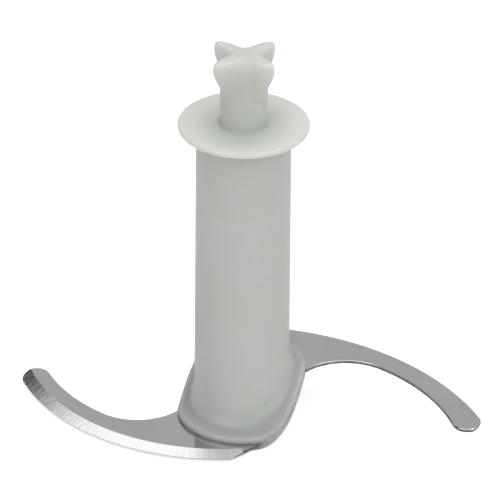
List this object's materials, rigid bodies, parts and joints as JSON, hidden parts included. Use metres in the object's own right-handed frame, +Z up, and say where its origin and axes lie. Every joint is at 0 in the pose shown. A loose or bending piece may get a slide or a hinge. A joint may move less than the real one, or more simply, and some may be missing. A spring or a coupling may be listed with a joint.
{
  "type": "food processor blade",
  "caption": "S-shaped stepped steel chopping blade moulded into a tall tapered plastic hub with a flange, a lobed head and a blind spindle bore.",
  "frame": {"origin": "on the hub's axis, at the level the hub stands on", "axes": "+Z up the hub's axis to the lobed head, +X roughly along the high arm, +Y towards the back of the picture"},
  "size_m": [0.1312, 0.0518, 0.1173],
  "materials": {
    "hub_plastic": "smooth natural white plastic, slightly translucent",
    "blade_steel": "polished stainless sheet with a cross-ground bevel"
  },
  "bodies": {
    "root": {"hub": "hub_plastic", "blade": "blade_steel"}
  },
  "joints": []
}
